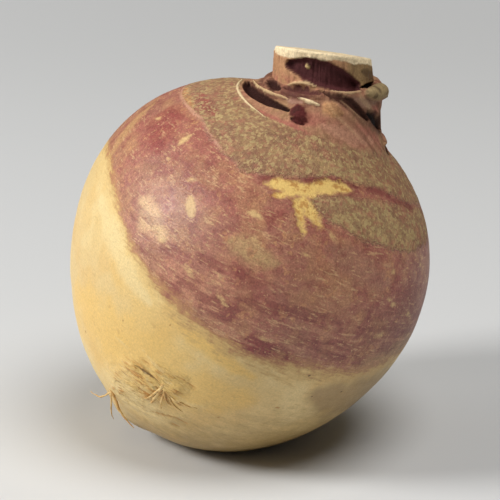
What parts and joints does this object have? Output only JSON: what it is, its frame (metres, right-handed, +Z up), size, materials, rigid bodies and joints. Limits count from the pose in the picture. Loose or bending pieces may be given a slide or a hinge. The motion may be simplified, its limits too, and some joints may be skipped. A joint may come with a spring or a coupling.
{
  "type": "rutabaga",
  "caption": "Whole rutabaga, purple over cream, with trimmed leaf crown, short neck, trimmed taproot and fine side roots, resting on a small flat spot.",
  "frame": {"origin": "middle of the small flat spot on the underside that the root rests on", "axes": "+Z up from the resting spot; the crown and its neck lean towards +X; -Y is the side with the side-root cluster, seen from the front"},
  "size_m": [0.1149, 0.1184, 0.1318],
  "materials": {
    "skin": "satin"
  },
  "bodies": {
    "root": {"rutabaga": "skin"}
  },
  "joints": []
}
